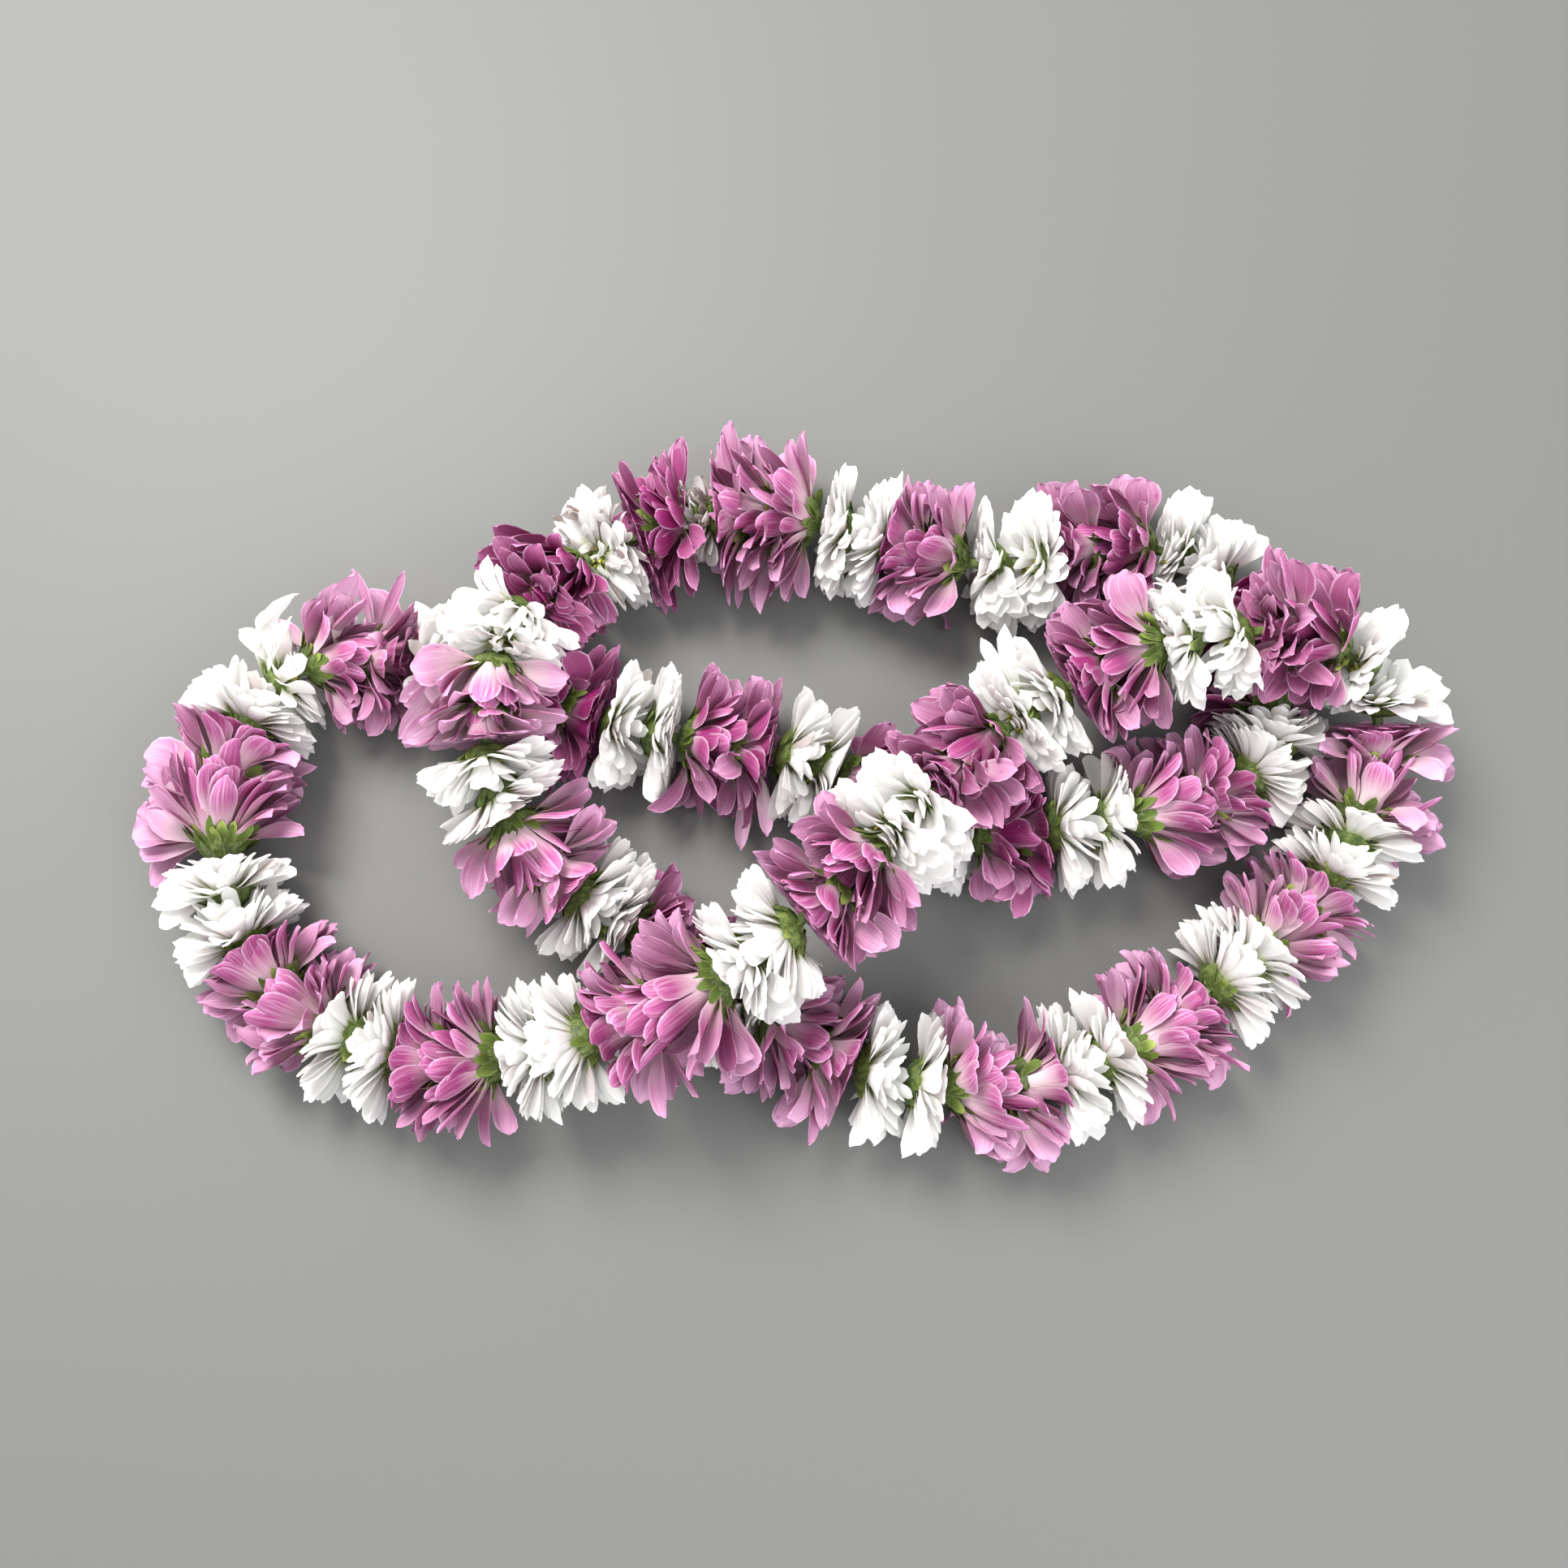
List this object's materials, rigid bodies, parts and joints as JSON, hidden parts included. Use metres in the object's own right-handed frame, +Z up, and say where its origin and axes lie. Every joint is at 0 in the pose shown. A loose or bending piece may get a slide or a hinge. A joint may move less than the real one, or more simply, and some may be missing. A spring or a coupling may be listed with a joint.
{
  "type": "fresh flower lei",
  "caption": "Closed lei of white and mauve chrysanthemum blooms in alternating sections on one string, laid on a table in overlapping loops.",
  "frame": {"origin": "centre of the bounding box's bottom face, on the table", "axes": "+Z up from the table, +X along the laid lei's long side, +Y towards its back"},
  "size_m": [0.4228, 0.24, 0.0739],
  "materials": {
    "white_petals": "soft matte petals with green calyxes",
    "mauve_petals": "soft satin petals with paler edges and undersides",
    "calyx": "matte green bracts",
    "string": "twisted cotton"
  },
  "bodies": {
    "root": {"section_01_white": "white_petals", "section_02_mauve": "mauve_petals", "section_03_white": "white_petals", "section_04_mauve": "mauve_petals", "section_05_white": "white_petals", "section_06_mauve": "mauve_petals", "section_07_white": "white_petals", "section_08_mauve": "mauve_petals", "section_09_white": "white_petals", "section_10_mauve": "mauve_petals", "section_11_white": "white_petals", "section_12_mauve": "mauve_petals", "section_13_white": "white_petals", "section_14_mauve": "mauve_petals", "section_15_white": "white_petals", "section_16_mauve": "mauve_petals", "section_17_white": "white_petals", "section_18_mauve": "mauve_petals", "section_19_white": "white_petals", "section_20_mauve": "mauve_petals", "section_21_white": "white_petals", "section_22_mauve": "mauve_petals", "section_23_white": "white_petals", "section_24_mauve": "mauve_petals", "section_25_white": "white_petals", "section_26_mauve": "mauve_petals", "section_27_white": "white_petals", "section_28_mauve": "mauve_petals", "section_29_white": "white_petals", "section_30_mauve": "mauve_petals", "section_31_white": "white_petals", "section_32_mauve": "mauve_petals", "section_33_white": "white_petals", "section_34_mauve": "mauve_petals", "section_35_white": "white_petals", "section_36_mauve": "mauve_petals", "section_37_white": "white_petals", "section_38_mauve": "mauve_petals", "section_39_white": "white_petals", "section_40_mauve": "mauve_petals", "section_41_white": "white_petals", "section_42_mauve": "mauve_petals", "section_43_white": "white_petals", "section_44_mauve": "mauve_petals", "section_45_white": "white_petals", "section_46_mauve": "mauve_petals", "section_47_white": "white_petals", "section_48_mauve": "mauve_petals", "section_49_white": "white_petals", "section_50_mauve": "mauve_petals", "section_51_white": "white_petals", "section_52_mauve": "mauve_petals", "section_53_white": "white_petals", "section_54_mauve": "mauve_petals", "section_55_white": "white_petals", "section_56_mauve": "mauve_petals", "string": "string"}
  },
  "joints": []
}
